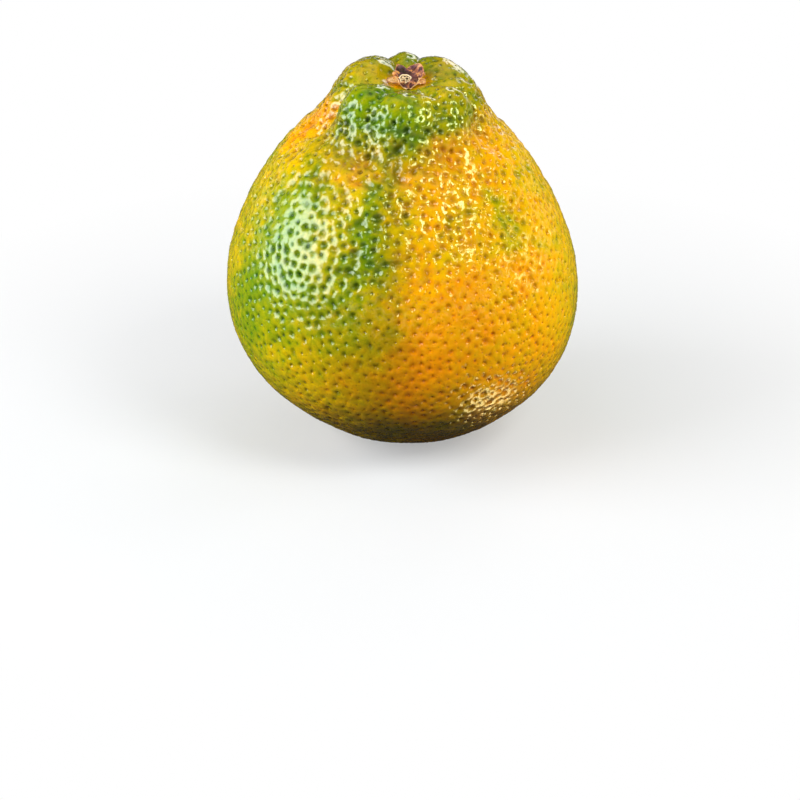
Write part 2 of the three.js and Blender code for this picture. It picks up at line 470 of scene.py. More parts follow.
def gland_relief(points, owner):
    """How far the skin sinks at each point, and the distance, depth and darkness of the nearest gland."""
    centres = form_at(corner_along, corner_azimuth)[0]
    sunk = np.zeros(len(points))
    gap = np.full(len(points), FAR_OFF)
    deepness = np.zeros(len(points))
    darkness = np.zeros(len(points))
    warp = WARP * wander_about(points, 1.3, (21, 22, 23))
    for column in range(3):
        gland = owner[:, column]
        repeat = (owner[:, :column] == gland[:, None]).any(axis=1)
        offset = points - centres[gland]
        offset += warp * smoothstep(0.1, 0.6, np.linalg.norm(offset, axis=1))[:, None]
        drawn = np.einsum("ij,ij->i", offset, gland_axis[gland])
        distance = np.sqrt(np.einsum("ij,ij->i", offset, offset) - gland_stretch[gland] * drawn**2)
        distance /= gland_size[gland]
        deep = np.where(repeat, 0, gland_depth[gland])
        sunk += deep * PIT_DEPTH * np.exp(-((distance / PIT_SPREAD) ** 2))
        nearer = (distance < gap) & ~repeat
        gap = np.where(nearer, distance, gap)
        deepness = np.where(nearer, gland_depth[gland], deepness)
        darkness = np.where(nearer, gland_darkness[gland], darkness)
    return sunk, gap, deepness, darkness


along, azimuth = from_plane(place)
points, out, height, radius = form_at(along, azimuth)
sunk, gap, deepness, darkness = gland_relief(points, owner)
on_knob = smoothstep(86, 99, height)
in_dimple = smoothstep(99, 104, height) * smoothstep(10, 5.5, radius)
underside = smoothstep(14, 4, height) * smoothstep(26, 12, radius)
crest = smoothstep(97, 103, height) * smoothstep(20, 14, radius)
# Pits are shallower in the dimple, underneath and along the crest of the knob.
smoother = (1 - 0.85 * in_dimple) * (1 - 0.4 * underside) * (1 - 0.55 * crest)
sunk *= smoother
deepness *= smoother
coarse = coarseness(azimuth, height)
flat_here = flatness(azimuth, height)
pitting = np.maximum(coarse, patch(azimuth, height, FOOT_FIELD))
right_cheek = smoothstep(272, 292, azimuth) * smoothstep(360, 335, azimuth) * smoothstep(12, 30, height)
pitting = np.maximum(pitting, 0.8 * right_cheek)
raised = on_knob * (1 - in_dimple)
# The wax lies thickest on the flat places, on the knob, between the cheeks and on the right shoulder.
wax = np.maximum(0.6 * flat_here, 0.75 * raised)
for field, thickness in ((SEAM_FIELD, 0.7), (WAXED_SHOULDER, 0.8)):
    wax = np.maximum(wax, thickness * patch(azimuth, height, field))

pebbly = 0.1 * (1 - flat_here) + 0.22 * coarse * (1 - in_dimple) * (1 - 0.5 * on_knob)
lumps = np.zeros(len(points))
for where, rise, size, seed in (  # rise and size in mm
    (1, 0.2, 9, 1),
    (pebbly, 1.0, 2.9, 2),
    (pebbly, 0.25, 1.5, 5),
    (raised, 0.3, 6.5, 3),
    (crest * (1 - in_dimple), 0.14, 2.4, 6),
):
    lumps += where * rise * wander(points, size, seed)
at_bottom = height < BOTTOM_HEIGHT
sinking = SCAR_SINK * np.exp(-((radius / SCAR_SLOPE) ** 2)) * at_bottom
relief = lumps * (1 - underside) - sunk
at_rest = at_bottom & (radius < REST_RADIUS)  # nothing stands out below the flat spot
relief = np.where(at_rest, np.minimum(relief, 0), relief)
skin = points + out * (relief - sinking)[:, None]
skin = np.vstack([skin, (0, 0, SEAT_HEIGHT)])
along = np.append(along, LENGTH)
azimuth = np.append(azimuth, 0)

corner = skin[fan]
facing = np.cross(corner[:, 1] - corner[:, 0], corner[:, 2] - corner[:, 0])
inward = np.einsum("ij,ij->i", facing, out[fan[:, 0]]) < 0
fan[inward] = fan[inward][:, ::-1]
faces = np.vstack([small, fan])
fruit = new_piece("fruit_skin", skin, faces.tolist())


# ---- ripeness: how green the rind is -----------------------------------------

GREEN_MEAN = 0.42
# Azimuth, height, width in degrees, height in mm, amount of green added or taken away.
GREENING = [
    (221, 63, 19, 20, 0.30),  # green field on the left of the front, with deeper spots
    (227, 62, 8, 5, 0.08),
    (218, 69, 8, 10, 0.08),
    (220, 79, 5, 8, 0.15),
    (207, 42, 8, 12, 0.18),  # its tail down the left edge
    (257, 77, 6, 12, 0.22),  # olive green beside the seam
    (257, 70, 3.5, 4, 0.10),
    (247, 56, 8, 6, 0.14),
    (229, 87, 6, 4, 0.06),
    (256, 83, 4, 4, 0.10),
    (246, 36, 14, 7, -0.06),
    (293, 52, 7, 8, -0.12),  # deepest orange of the right cheek
    (277, 44, 6, 6, -0.20),
    (268, 30, 9, 6, -0.24),
    (306, 92, 20, 7, -0.18),
    (313, 80, 3, 5, 0.20),  # green fleck
    (315, 72, 3, 4, 0.14),
    (177, 93, 10, 5, -0.28),  # orange left shoulder
    (213, 98, 8, 5, 0.07),
    (203, 88, 10, 4, -0.07),
    (238, 91, 22, 4, -0.16),  # golden neck below the knob
    (254, 58, 6, 12, 0.10),
    (237, 52, 6, 6, 0.06),
    (234, 102, 19, 5, 0.29),  # deep green front of the knob
    (280, 102, 22, 4.5, 0.20),
    (274, 99.5, 9, 2.5, 0.14),
    (283, 15, 14, 4, 0.20),
    (60, 66, 26, 22, 0.40),  # the side away from the front
    (122, 45, 30, 20, -0.22),
    (150, 72, 20, 14, 0.34),
    (14, 34, 22, 14, 0.24),
    (95, 18, 26, 8, 0.22),
    (172, 34, 18, 16, 0.26),
    (30, 88, 20, 7, -0.18),
    (85, 99, 26, 6, 0.16),
]

# Where the rind is a duller olive, and where shade is painted: a painted shadow over the underside, and
# painted shade in the valleys below the knob and along the seam's groove. Azimuth, height, width in
# degrees, height in mm, amount.
SHADES = [
    # painted shade along the seam's groove
    (265, 62, 6, 22, 0.28),
    (262, 43, 7, 9, 0.13),
    # painted shade in the valley below the knob
    (240, 92, 32, 4.5, 0.26),
    # painted shadow over the underside, where the fruit rests
    (275, 12, 46, 9, 0.86),
    (253, 37, 11, 10, 0.28),
    (225, 99, 20, 4, 0.1),
    (140, 105, 45, 6, 0.26),
    (40, 104, 45, 7, 0.24),
    (325, 101, 22, 5, 0.2),
    # painted shade in the valley below the knob, on the right
    (288, 94, 14, 4, 0.16),
    (300, 84, 26, 14, 0.07),
    (229, 86, 8, 4, 0.14),
    (246, 55, 9, 7, 0.15),
]

# Small dry scabs on the rind, in the same numbers.
BLEMISHES = [(237, 91, 5, 1.4, 0.8), (229, 93, 2, 1.0, 0.5), (319, 58, 3, 2, 0.35), (62, 40, 3, 2, 0.6)]


def greenness(points, azimuth, height, radius):
    """How green the rind is, from orange at 0 to deep green at 1, in fields with wandering edges."""
    azimuth = azimuth + 4 * wander(points, 14, 11) + 4 * wander(points, 5, 12)
    height = height + 4 * wander(points, 12, 13) + 2 * wander(points, 4, 16)
    green = np.full(len(points), GREEN_MEAN)
    for spot in GREENING:
        green += spot[4] * patch(azimuth, height, spot)
    # The cheek right of the seam is riper all over, and the knob greener.
    cheek = smoothstep(264, 276, azimuth) * (1 - smoothstep(318, 352, azimuth)) * smoothstep(97, 86, height)
    green += 0.15 * smoothstep(98, 102, height) - (0.06 + 0.12 * smoothstep(74, 62, height)) * cheek
    green += 0.12 * wander(points, 9, 14) + 0.13 * wander(points, 3.2, 15)
    collar = smoothstep(103, 105, height) * smoothstep(7.6, 5.8, radius)
    return green * (1 - collar) + 0.34 * collar


form = np.vstack([points, (0, 0, SEAT_HEIGHT)])
level = np.append(height, SEAT_HEIGHT)
wide = np.append(radius, 0)
# Painted shadow under the fruit and painted shade in the valleys, with duller olive elsewhere, as a share
# to mix in.
shade = sum(spot[4] * patch(azimuth, level, spot) for spot in SHADES)
scar = np.exp(-((wide / SCAR_RADIUS) ** 4)) * (level < BOTTOM_HEIGHT)
for spot in BLEMISHES:
    scar += spot[4] * patch(azimuth, level, spot) * smoothstep(-0.1, 0.35, wander(form, 1.1, 20))
RIND_FACTS = {  # what the rind's material reads at each point of the skin
    "ripeness": greenness(form, azimuth, level, wide),
    "gland_distance": np.append(gap, FAR_OFF),
    "gland_depth": np.append(deepness, 0),
    "gland_darkness": np.append(darkness, 0),
    "coarseness": np.append(coarse, 0),
    "flatness": np.append(flat_here, 0),
    "pitting": np.append(pitting, 0),
    "wax": np.append(wax, 0),
    "shade": np.clip(shade * (1 + 0.5 * wander(form, 4, 19)), 0, 0.8),
    "scar": np.clip(scar, 0, 1),
}
for name, values in RIND_FACTS.items():
    store(fruit.data, name, values)

# The map for baked pictures: azimuth across and distance along the skin up, with the seam at the back.
SEAM = 90  # azimuth
MARGIN = 0.01  # left free round the map; across, a face over the seam needs some more on the right
around = np.append((azimuth[:-1] - SEAM) % 360, 0)[faces]
over_seam = (around < 90) & (around.max(axis=1) > 270)[:, None]
around = np.where(over_seam, around + 360, around)
middle_rows = np.any(faces == centre, axis=1)
around[middle_rows] = np.where(
    faces[middle_rows] == centre, around[middle_rows].max(axis=1)[:, None], around[middle_rows]
)
across = MARGIN + (1 - 4 * MARGIN) * around / 360
upward = MARGIN + (1 - 2 * MARGIN) * along[faces] / LENGTH
unwrapped = fruit.data.uv_layers.new(name="OFBake")
unwrapped.data.foreach_set("uv", np.stack([across, upward], axis=-1).astype(np.float32).ravel())
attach(fruit, "root")
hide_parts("fruit")


# ---- materials ---------------------------------------------------------------

def colour(hex_code):
    """sRGB hex to the linear colour that the shaders use."""
    values = [int(hex_code[i : i + 2], 16) / 255 for i in (1, 3, 5)]
    return [v / 12.92 if v <= 0.04045 else ((v + 0.055) / 1.055) ** 2.4 for v in values] + [1.0]


def add(tree, kind, inputs=(), stops=(), **settings):
    """Adds a node with its settings, colour stops, and the values or links of its inputs.

    An input given as a node is linked to the first output that the node has in use.
    """
    made = tree.nodes.new("ShaderNode" + kind)
    for name, value in settings.items():
        setattr(made, name, value)
    for socket, value in dict(inputs).items():
        if isinstance(value, bpy.types.Node):
            value = next(output for output in value.outputs if output.enabled)
        if isinstance(value, bpy.types.NodeSocket):
            tree.links.new(value, made.inputs[socket])
        else:
            made.inputs[socket].default_value = value
    if stops:
        elements = made.color_ramp.elements
        while len(elements) < len(stops):
            elements.new(1)
        for element, (position, hex_code) in zip(elements, stops):
            element.position = position
            element.color = colour(hex_code)
    return made


def new_material(name):
    material = bpy.data.materials.new(name)
    material.use_nodes = True
    tree = material.node_tree
    tree.nodes.clear()
    return material, tree


def waxy_citrus_rind():
    """Citrus peel under its own wax: glossy on the swellings between its oil glands, and dark inside them
    from their own dark floors and from shade painted into the hollows round them.
    """
    material, tree = new_material("waxy_citrus_rind")
    fact = {name: add(tree, "Attribute", attribute_name=name).outputs["Fac"] for name in RIND_FACTS}
    distance = fact["gland_distance"]
    place = add(tree, "TexCoord").outputs["Object"]
    # Mottling and flecks of the colour, pebbles between the glands, and the grain of the wax. The real
    # grain is about 0.1 mm, too fine to show, so it is drawn four times as coarse.
    common = {"Vector": place, "Roughness": 0.55}
    mottle, flecks, pebbles, grain = (
        add(tree, "TexNoise", {**common, "Scale": 1 / (size * MM), "Detail": detail})
        for size, detail in ((1.7, 3), (0.5, 1), (1.5, 1.5), (0.45, 2))
    )
    # Pores between the glands, and the small pits of the coarser skin. The real pores lie about 0.5 mm
    # apart, too close to show, so they are drawn three times as far apart.
    pore_cells, pit_cells = (
        add(tree, "TexVoronoi", {"Vector": place, "Scale": 1 / (spacing * MM)}) for spacing in (1.5, 1.9)
    )
    # Fades: what each follows, from where to where, what it gives at these ends, and what scales it.
    fades = {
        "pigment and painted shade by glands": (distance, 0.3, 1.4, 1.35, 0.92, None),
        "gland floor": (distance, 0.15, 0.75, 1.0, 0.0, "gland_darkness"),
        # painted shade in the hollow round each gland, deeper for deeper glands
        "painted shade in gland hollow": (distance, 0.4, 1.4, 0.38, 0.0, "gland_depth"),
        "gland wall": (distance, 0.05, 0.8, -0.26, 0.0, "gland_depth"),
        "matt gland": (distance, 0.15, 0.5, 0.3, 0.0, None),
        "wax between glands": (distance, 0.15, 0.7, 0.0, 1.0, "wax"),
        "pore": (pore_cells, 0.1, 0.24, 0.4, 0.0, None),
        "pit floor": (pit_cells, 0.06, 0.26, 0.6, 0.0, "pitting"),
        "pit wall": (pit_cells, 0.02, 0.36, 1.0, 0.0, "pitting"),
        "matt pit": (pit_cells, 0.06, 0.2, 0.3, 0.0, "pitting"),
        "polish": (mottle, 0.3, 0.7, 0.08, 0.14, None),
    }
    for name, (*numbers, scale) in fades.items():
        slope = "LINEAR" if name.endswith("wall") else "SMOOTHSTEP"
        fades[name] = add(tree, "MapRange", dict(enumerate(numbers)), interpolation_type=slope)
        if scale:
            fades[name] = add(tree, "Math", {0: fades[name], 1: fact[scale]}, operation="MULTIPLY")

    # Orange or green is deepest round the glands and the skin between them stays nearer to yellow: partly
    # the pigment, and partly painted shade in the hollows and painted light on the pillows between.
    yellow = 0.4
    tone = add(tree, "Math", {0: fact["ripeness"], 1: -0.21 - yellow}, operation="ADD")
    tone = add(tree, "Math", {0: mottle, 1: 0.3, 2: tone}, operation="MULTIPLY_ADD")
    tone = add(tree, "Math", {0: flecks, 1: 0.12, 2: tone}, operation="MULTIPLY_ADD")
    green = add(tree, "Math", {0: tone, 1: fades["pigment and painted shade by glands"], 2: yellow}, operation="MULTIPLY_ADD")
    skin_tones = [
        (0.0, "#ff9e00"), (0.2, "#fbad00"), (0.4, "#e4b600"), (0.55, "#c0ac00"),
        (0.7, "#949c00"), (0.85, "#769000"), (1.0, "#5c8604"),
    ]
    # Dark tones for the floors of the glands and for the painted shade round them.
    floor_and_painted_shade_tones = [
        (0.0, "#c46400"), (0.28, "#ac7000"), (0.46, "#7c6800"), (0.7, "#465802"), (1.0, "#264804"),
    ]
    paint = add(tree, "ValToRGB", {"Fac": green}, stops=skin_tones)
    deep = add(tree, "ValToRGB", {"Fac": green}, stops=floor_and_painted_shade_tones)
    # A round dark floor in each gland, with painted shade in the softer hollow round it, and finer pores in
    # between.
    pores = add(tree, "Math", {0: fades["pore"], 1: fades["pit floor"]}, operation="MAXIMUM")
    dark_floors_and_painted_shade = add(tree, "Math", {0: fades["gland floor"], 1: pores}, operation="MAXIMUM")
    floors_and_painted_hollow_shade = {0: dark_floors_and_painted_shade, 1: fades["painted shade in gland hollow"]}
    dark_floors_and_painted_shade = add(tree, "Math", floors_and_painted_hollow_shade, operation="MAXIMUM", use_clamp=True)
    # The dark floors of the glands with the painted shade round them, then the duller olive with the
    # painted shadow under the fruit and the painted shade in the valleys, then the dry scabs.
    dull_olive_and_shade_colour, dry_scab = colour("#4a3c04"), colour("#7a5a2c")
    for amount, over in ((dark_floors_and_painted_shade, deep), (fact["shade"], dull_olive_and_shade_colour), (fact["scar"], dry_scab)):
        paint = add(tree, "Mix", {"Factor": amount, "A": paint, "B": over}, data_type="RGBA")

    # Relief finer than the mesh, in mm: pillows between glands, grain, steep pit walls and pores.
    pillow = add(tree, "Math", {0: fact["flatness"], 1: -0.1, 2: 0.13}, operation="MULTIPLY_ADD")
    pillow = add(tree, "Math", {0: fact["coarseness"], 1: 0.16, 2: pillow}, operation="MULTIPLY_ADD")
    height = add(tree, "Math", {0: pebbles, 1: pillow}, operation="MULTIPLY")
    walls = (fades["gland wall"], 1.0), (fades["pit wall"], -0.2)
    for layer, rise in ((grain, 0.016), (pores, -0.08), *walls):
        height = add(tree, "Math", {0: layer, 1: rise, 2: height}, operation="MULTIPLY_ADD")
    bump = add(tree, "Bump", {"Height": height, "Strength": 1.0, "Distance": MM})

    # The floors of the pits are matt, so only their walls and rims glint.
    roughness = {0: fact["flatness"], 1: 0.12, 2: fades["polish"]}
    roughness = add(tree, "Math", roughness, operation="MULTIPLY_ADD")
    for matt in (fades["matt pit"], fades["matt gland"]):
        roughness = add(tree, "Math", {0: roughness, 1: matt}, operation="MAXIMUM")
    # Where the wax lies thick it is a coat of its own, which thins out into the glands.
    coat = {"Coat Weight": fades["wax between glands"], "Coat Roughness": 0.1}
    look = {"Base Color": paint, "Roughness": roughness, "IOR": 1.5, "Normal": bump, **coat}
    add(tree, "OutputMaterial", {"Surface": add(tree, "BsdfPrincipled", look)})
    return material


fruit.data.materials.append(waxy_citrus_rind())


# ---- dried calyx and the stub of the stem ------------------------------------

CALYX_VOXEL = 0.11  # the sepals are fused into one skin of this fineness, mm
SEPAL_ROOT = CALYX_BASE + 0.75  # height at which the sepals start
# Dried sepals: azimuth, start and length along their middle, width, slope, curl, cupping of the
# edges, then how pale their face, edges and middle rib are (0 almost black, 1 straw); the pale edges also
# carry a painted highlight along the rims.
SEPALS = [
    (269, 1.6, 5.0, 6.3, -7, -2, 1.0, 0.26, 1.1, 0.62),
    (323, 2.2, 3.7, 4.6, 6, -8, 0.2, 0.88, 0.74, 0.0),
    (52, 1.7, 4.7, 6.8, 22, 30, 0.5, 0.34, 0.70, 0.55),
    (126, 2.0, 4.2, 4.6, 26, 24, 0.8, 0.14, 0.70, 0.0),
    (209, 2.4, 4.9, 5.6, 2, 12, 0.4, 0.95, 0.60, 0.0),
]
# Lumps of the dried flower base: middle, three radii, paleness.
LUMPS = [
    ((-0.2, -0.4, 107.0), (3.0, 2.9, 0.5), 0.45),
    ((1.5, -2.5, 107.5), (1.15, 1.0, 0.7), 0.40),
    ((-3.4, 2.0, 107.7), (1.1, 0.9, 0.9), 0.82),
    ((3.6, 1.7, 107.8), (1.2, 1.1, 0.8), 0.66),
    ((-2.8, -2.6, 106.95), (1.3, 1.1, 0.4), 0.93),
]
STUB_MIDDLE = (-0.87, -1.3, 107.3)
STUB_RADIUS = 1.85
STUB_TILT = math.radians(22)  # towards the front
# Hollows in its broken end, with a raised rim round each: middle and radius, as shares of the stub's.
STUB_HOLLOWS = [(-0.08, 0.42, 0.26), (0.3, -0.08, 0.3), (-0.45, -0.12, 0.2)]


def tube_faces(rows, columns):
    """Faces of a tube stored ring by ring, whose ends are closed round the two points after the rings."""
    neighbours = [(j, (j + 1) % columns) for j in range(columns)]
    faces = [
        (i * columns + j, i * columns + k, (i + 1) * columns + k, (i + 1) * columns + j)
        for i in range(rows - 1)
        for j, k in neighbours
    ]
    first_end = rows * columns
    for j, k in neighbours:
        faces += [(k, j, first_end), (first_end - columns + j, first_end - columns + k, first_end + 1)]
    return faces


def sepal(azimuth, start, reach, width, slope, curl, cup, face, edge, rib):
    """A wrinkled, cupped leaf with thickness: points, faces, and the paleness of each point."""
    rows, columns = 26, 20
    s = np.linspace(0, 1, rows)[:, None]
    angle = np.radians(slope + curl * s)
    step = reach / (rows - 1)
    radius = start + np.cumsum(np.cos(angle), axis=0) * step - step
    rise = np.cumsum(np.sin(angle), axis=0) * step - step
    half = width / 2 * (1 - s**2.2) ** 0.75 + 0.1
    turn = 2 * np.pi * np.arange(columns) / columns  # round the section, from one edge to the other
    t = np.cos(turn)[None, :]
    thickness = (0.3 - 0.12 * s) * np.sin(turn)[None, :]
    outward = np.array([math.cos(math.radians(azimuth)), math.sin(math.radians(azimuth)), 0])
    sideways = np.array([-outward[1], outward[0], 0])
    lift = cup * (t**2 - 0.3) * half / 2 + thickness
    flat = radius - np.sin(angle) * lift
    high = SEPAL_ROOT + rise + np.cos(angle) * lift
    points = flat[..., None] * outward + (half * t)[..., None] * sideways + high[..., None] * (0, 0, 1)
    points = points.reshape(-1, 3)
    points += 0.35 * wander_about(points, 1.9, (31, 32, 33))
    ends = np.array([points[:columns].mean(axis=0), points[-columns:].mean(axis=0)])
    # Paler edges: straw rims, with a painted highlight along them.
    at_edge = smoothstep(0.72, 0.98, np.maximum(np.abs(t), s))
    at_rib = np.exp(-((t / 0.16) ** 2)) * smoothstep(0.15, 0.4, s) * smoothstep(1.0, 0.8, s)
    paleness = face + (edge - face) * at_edge + (rib - face) * at_rib * (rib > 0)
    paleness = np.append(paleness.ravel(), [face, edge])
    return np.vstack([points, ends]), tube_faces(rows, columns), paleness


def lump(middle, radii, paleness):
    rows, columns = 11, 20
    up = np.linspace(-0.5, 0.5, rows)[:, None] * np.pi * 0.98
    turn = 2 * np.pi * np.arange(columns)[None, :] / columns
    ball = np.stack([np.cos(up) * np.cos(turn), np.cos(up) * np.sin(turn), np.sin(up) + 0 * turn], -1)
    points = ball.reshape(-1, 3) * radii + middle
    points += 0.22 * wander_about(points, 1.1, (34, 35, 36))
    points = np.vstack([points, points[:columns].mean(axis=0), points[-columns:].mean(axis=0)])
    return points, tube_faces(rows, columns), np.full(len(points), paleness)


def make_calyx():
    """All sepals and lumps grew as one piece, so they are fused into one skin and carry one material."""
    points, faces, paleness = [], [], []
    for part in [sepal(*numbers) for numbers in SEPALS] + [lump(*numbers) for numbers in LUMPS]:
        first = sum(map(len, points))
        points.append(part[0])
        faces += [tuple(first + corner for corner in face) for face in part[1]]
        paleness.append(part[2])
    points, paleness = np.vstack(points), np.concatenate(paleness)
    rough = new_piece("rough_calyx", points / MM, faces)  # 1 mm as 1 m, which suits the fusing
    fusing = rough.modifiers.new("fusing", "REMESH")
    fusing.mode = "VOXEL"
    fusing.voxel_size = CALYX_VOXEL
    fused = bpy.data.meshes.new_from_object(rough.evaluated_get(bpy.context.evaluated_depsgraph_get()))
    bpy.data.objects.remove(rough)
    place = np.array([vertex.co for vertex in fused.vertices])
    corners = [tuple(face.vertices) for face in fused.polygons]

    tree = tree_of(points)
    pale = []
    for point in place:
        found = tree.find_n(point, 4)
        weights = [1 / (distance + 0.05) for _, _, distance in found]
        pale.append(sum(w * paleness[index] for w, (_, index, _) in zip(weights, found)) / sum(weights))
    wrinkle = wander(place, 0.55, 37)
    centre = place.mean(axis=0)
    outwards = (place - centre) / np.linalg.norm(place - centre, axis=1)[:, None]
    place = place + outwards * (0.07 * wrinkle)[:, None]
    beyond_seat = np.hypot(place[:, 0], place[:, 1]) > 5
    place[:, 2] = np.maximum(place[:, 2], CALYX_BASE + 0.02 * beyond_seat)
    piece = new_piece("dried_calyx", place, corners)
    store(piece.data, "paleness", np.array(pale))
    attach(piece, "root")
    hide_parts("calyx")
    return piece


def make_stub():
    """The scar where the stem broke off: a pale ring of wood with ribs and dark hollows inside."""
    rows, columns = 34, 96
    reach = np.linspace(0.02, 1, rows)[:, None]
    turn = 2 * np.pi * np.arange(columns)[None, :] / columns
    wavy = reach * (1 + 0.05 * np.sin(3 * turn + 1) + 0.03 * np.sin(7 * turn))
    x, y = wavy * np.cos(turn), wavy * np.sin(turn)
    ridge = np.exp(-(((reach - 0.84) / 0.15) ** 2)) + 0 * turn
    for middle_x, middle_y, radius in STUB_HOLLOWS:
        loop = np.hypot(x - middle_x, y - middle_y) - radius
        ridge = np.maximum(ridge, 0.95 * np.exp(-((loop / 0.075) ** 2)))
    ridge = np.maximum(ridge, 0.9 * np.exp(-(((x + 0.25 * y + 0.1) / 0.08) ** 2)) * (y < 0.1))
    crown = np.where(reach > 0.97, -0.35, 0.0) + 0.42 * ridge - 0.12 * reach**2
    top = np.stack([x * STUB_RADIUS, y * STUB_RADIUS, crown + 0.35], -1).reshape(-1, 3)
    top[:, 2] += 0.05 * wander(top, 0.5, 41)
    skirt = top[-columns:] * (1.04, 1.04, 0) + (0, 0, -0.7)
    points = np.vstack([top, skirt, [(0, 0, top[:columns, 2].mean())], [(0, 0, -0.7)]])
    faces = [face[::-1] for face in tube_faces(rows + 1, columns)]
    cosine, sine = math.cos(STUB_TILT), math.sin(STUB_TILT)
    points = points @ np.array([[1, 0, 0], [0, cosine, sine], [0, -sine, cosine]]) + STUB_MIDDLE
    piece = new_piece("stem_scar", points, faces)
    store(piece.data, "ridge", np.concatenate([ridge.ravel(), np.full(columns, 0.6), [0.2, 0.2]]))
    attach(piece, "root")
    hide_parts("stem_stub")
    return piece


def dried_sepals():
    """Dried sepals: dull and papery, almost black maroon on their faces and straw at their edges, with a
    painted highlight along the rims.
    """
    material, tree = new_material("dried_sepals")
    pale = add(tree, "Attribute", attribute_name="paleness").outputs["Fac"]
    place = add(tree, "TexCoord").outputs["Object"]
    # Mottling and fibres of the dry tissue, and patches of a purple blush. The real fibres are about
    # 0.1 mm, too fine to show, so they are drawn three times as coarse.
    mottle, fibres, patches = (
        add(tree, "TexNoise", {"Vector": place, "Scale": 1 / (size * MM), "Detail": detail})
        for size, detail in ((0.8, 3), (0.3, 2), (1.1, 2))
    )
    tone = add(tree, "Math", {0: pale, 1: -0.88}, operation="ADD")
    tone = add(tree, "Math", {0: mottle, 1: 0.8, 2: tone}, operation="MULTIPLY_ADD")
    tone = add(tree, "Math", {0: fibres, 1: 0.9, 2: tone}, operation="MULTIPLY_ADD")
    papery_tones = [
        (0.0, "#1c0a0c"), (0.2, "#3a1316"), (0.4, "#64382c"), (0.56, "#a0624a"),
        (0.72, "#d08c52"), (0.88, "#eaa640"), (1.0, "#f6d29c"),
    ]
    surface = add(tree, "ValToRGB", {"Fac": tone}, stops=papery_tones)
    blush = add(tree, "MapRange", dict(enumerate((patches, 0.48, 0.62, 0.0, 0.45))))
    dark = add(tree, "MapRange", dict(enumerate((tone, 0.3, 0.65, 1.0, 0.0))))
    blush = add(tree, "Math", {0: blush, 1: dark}, operation="MULTIPLY")
    purple = colour("#744660")
    tinted = add(tree, "Mix", {"Factor": blush, "A": surface, "B": purple}, data_type="RGBA")
    bump = add(tree, "Bump", {"Height": fibres, "Strength": 0.9, "Distance": 0.2 * MM})
    look = {"Base Color": tinted, "Roughness": 0.42, "IOR": 1.45, "Normal": bump}
    add(tree, "OutputMaterial", {"Surface": add(tree, "BsdfPrincipled", look)})
    return material


def broken_stem_wood():
    """The broken end of a woody stem: dull, cream where the wood stands up and brown in its hollows."""
    material, tree = new_material("broken_stem_wood")
    ridge = add(tree, "Attribute", attribute_name="ridge").outputs["Fac"]
    place = add(tree, "TexCoord").outputs["Object"]
    # The real fibres are about 0.05 mm, too fine to show, so they are drawn five times as coarse.
    fibres = add(tree, "TexNoise", {"Vector": place, "Scale": 1 / (0.25 * MM), "Detail": 2})
    tone = add(tree, "Math", {0: ridge, 1: -0.15}, operation="ADD")
    tone = add(tree, "Math", {0: fibres, 1: 0.3, 2: tone}, operation="MULTIPLY_ADD")
    wood_tones = [(0.12, "#35201a"), (0.4, "#8a6644"), (0.65, "#dcbc8a"), (1.0, "#f6e4bc")]
    surface = add(tree, "ValToRGB", {"Fac": tone}, stops=wood_tones)
    bump = add(tree, "Bump", {"Height": fibres, "Strength": 0.6, "Distance": 0.1 * MM})
    look = {"Base Color": surface, "Roughness": 0.6, "IOR": 1.45, "Normal": bump}
    add(tree, "OutputMaterial", {"Surface": add(tree, "BsdfPrincipled", look)})
    return material


make_calyx().data.materials.append(dried_sepals())
make_stub().data.materials.append(broken_stem_wood())


# ---- floor, light and camera -------------------------------------------------

VIEW_DISTANCE = 1500
VIEW_SLANT = math.radians(25)  # of the line of sight to the belly, above the horizontal
SENSOR_WIDTH = 36
FOCAL_LENGTH = 236.925
AIM_BELOW, AIM_LEFT = 34.19, 0.71  # from the middle of the belly to the middle of the view, mm

view_up = Vector((0, math.sin(VIEW_SLANT), math.cos(VIEW_SLANT)))
view_back = Vector((0, -view_up.z, view_up.y))
belly = Vector((BELLY_LEAN, 0, BELLY_HEIGHT))
camera = new_object("camera", bpy.data.cameras.new("camera"))
camera.location = (belly + view_back * VIEW_DISTANCE) * MM
aim = belly - view_up * AIM_BELOW - Vector((AIM_LEFT, 0, 0))
camera.rotation_euler = (aim * MM - camera.location).to_track_quat("-Z", "Y").to_euler()
camera.data.sensor_width = SENSOR_WIDTH
camera.data.lens = FOCAL_LENGTH
camera.data.clip_end = 20  # m
bpy.context.scene.camera = camera

FLOOR_RADIUS = 4000
WALL_HEIGHT = 400
PAPER_TO, WHITE_FROM = 50, 180  # the floor shows as paper near the fruit and as plain white from there
DIM_TO, BRIGHT_FROM = 1800, 3900  # it is mirrored as dim paper near the fruit and as white far away


